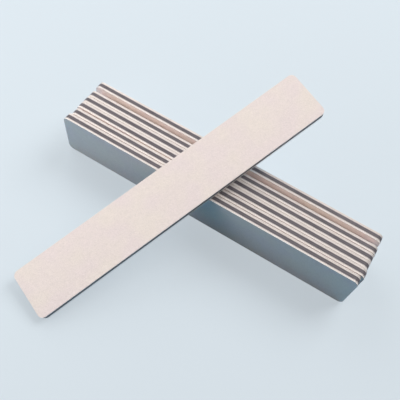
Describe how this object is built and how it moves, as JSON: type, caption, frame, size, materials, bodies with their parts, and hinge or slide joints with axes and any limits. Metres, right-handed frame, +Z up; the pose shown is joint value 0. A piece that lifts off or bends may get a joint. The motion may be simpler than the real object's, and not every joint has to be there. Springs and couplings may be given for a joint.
{
  "type": "emery board",
  "caption": "Straight emery boards of white abrasive paper and foam on a dark stiff core, set side by side on their long edges with one leaning across.",
  "frame": {"origin": "middle of the front board's lower long edge, on the surface that the set stands on", "axes": "+X along the standing boards, +Y from the front board to the rear one, +Z up"},
  "size_m": [0.1793, 0.1666, 0.0564],
  "materials": {
    "abrasive_paper": "matte",
    "white_foam": "matte",
    "dark_core": "matte"
  },
  "bodies": {
    "front_board": {"front_board_rear_sheet": "abrasive_paper", "front_board_rear_foam": "white_foam", "front_board_core": "dark_core", "front_board_front_foam": "white_foam", "front_board_front_sheet": "abrasive_paper"},
    "second_board": {"second_board_rear_sheet": "abrasive_paper", "second_board_rear_foam": "white_foam", "second_board_core": "dark_core", "second_board_front_foam": "white_foam", "second_board_front_sheet": "abrasive_paper"},
    "third_board": {"third_board_rear_sheet": "abrasive_paper", "third_board_rear_foam": "white_foam", "third_board_core": "dark_core", "third_board_front_foam": "white_foam", "third_board_front_sheet": "abrasive_paper"},
    "fourth_board": {"fourth_board_rear_sheet": "abrasive_paper", "fourth_board_rear_foam": "white_foam", "fourth_board_core": "dark_core", "fourth_board_front_foam": "white_foam", "fourth_board_front_sheet": "abrasive_paper"},
    "fifth_board": {"fifth_board_rear_sheet": "abrasive_paper", "fifth_board_rear_foam": "white_foam", "fifth_board_core": "dark_core", "fifth_board_front_foam": "white_foam", "fifth_board_front_sheet": "abrasive_paper"},
    "rear_board": {"rear_board_rear_sheet": "abrasive_paper", "rear_board_rear_foam": "white_foam", "rear_board_core": "dark_core", "rear_board_front_foam": "white_foam", "rear_board_front_sheet": "abrasive_paper"},
    "leaning_board": {"leaning_board_lower_sheet": "abrasive_paper", "leaning_board_lower_foam": "white_foam", "leaning_board_core": "dark_core", "leaning_board_upper_foam": "white_foam", "leaning_board_upper_sheet": "abrasive_paper"}
  },
  "joints": [
    {"name": "second_board_pull_out", "type": "slide", "parent": "front_board", "child": "second_board", "axis": [1, 0, 0], "range_m": [-0.185, 0.185]},
    {"name": "third_board_pull_out", "type": "slide", "parent": "second_board", "child": "third_board", "axis": [1, -0.0052, 0], "range_m": [-0.185, 0.185]},
    {"name": "fourth_board_pull_out", "type": "slide", "parent": "third_board", "child": "fourth_board", "axis": [1, -0.0052, 0], "range_m": [-0.185, 0.185]},
    {"name": "fifth_board_pull_out", "type": "slide", "parent": "fourth_board", "child": "fifth_board", "axis": [1, -0.0044, 0], "range_m": [-0.185, 0.185]},
    {"name": "rear_board_pull_out", "type": "slide", "parent": "fifth_board", "child": "rear_board", "axis": [1, -0.0052, 0], "range_m": [-0.185, 0.185]},
    {"name": "leaning_board_lift", "type": "slide", "parent": "front_board", "child": "leaning_board", "axis": [0, 0, 1], "range_m": [0, 0.06]}
  ]
}
